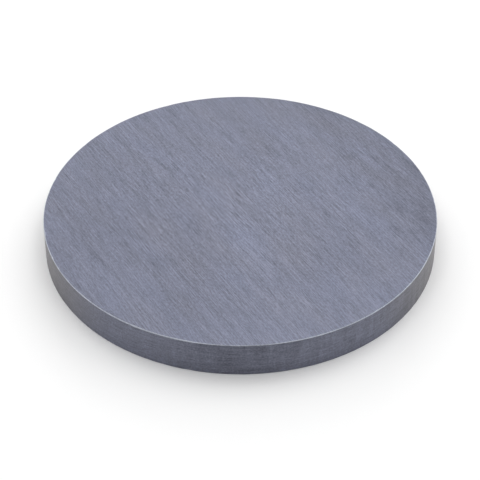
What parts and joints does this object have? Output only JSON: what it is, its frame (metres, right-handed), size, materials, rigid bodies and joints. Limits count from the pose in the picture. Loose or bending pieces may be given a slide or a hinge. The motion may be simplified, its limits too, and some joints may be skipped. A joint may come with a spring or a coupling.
{
  "type": "sputtering target",
  "caption": "Round flat sputtering target: a solid ground metal disc with finely broken edges, the source material for thin film coating in a magnetron cathode.",
  "frame": {"origin": "centre of the back face, on the disc's axis, where it seats on the cathode's cooling plate", "axes": "+Z along the disc's axis, from the back face towards the front face that is sputtered; X and Y lie in the back face"},
  "size_m": [0.0508, 0.0508, 0.0048],
  "materials": {
    "ground_metal": "fine straight-line ground, satin, blue-grey"
  },
  "bodies": {
    "root": {"target_disc": "ground_metal"}
  },
  "joints": []
}
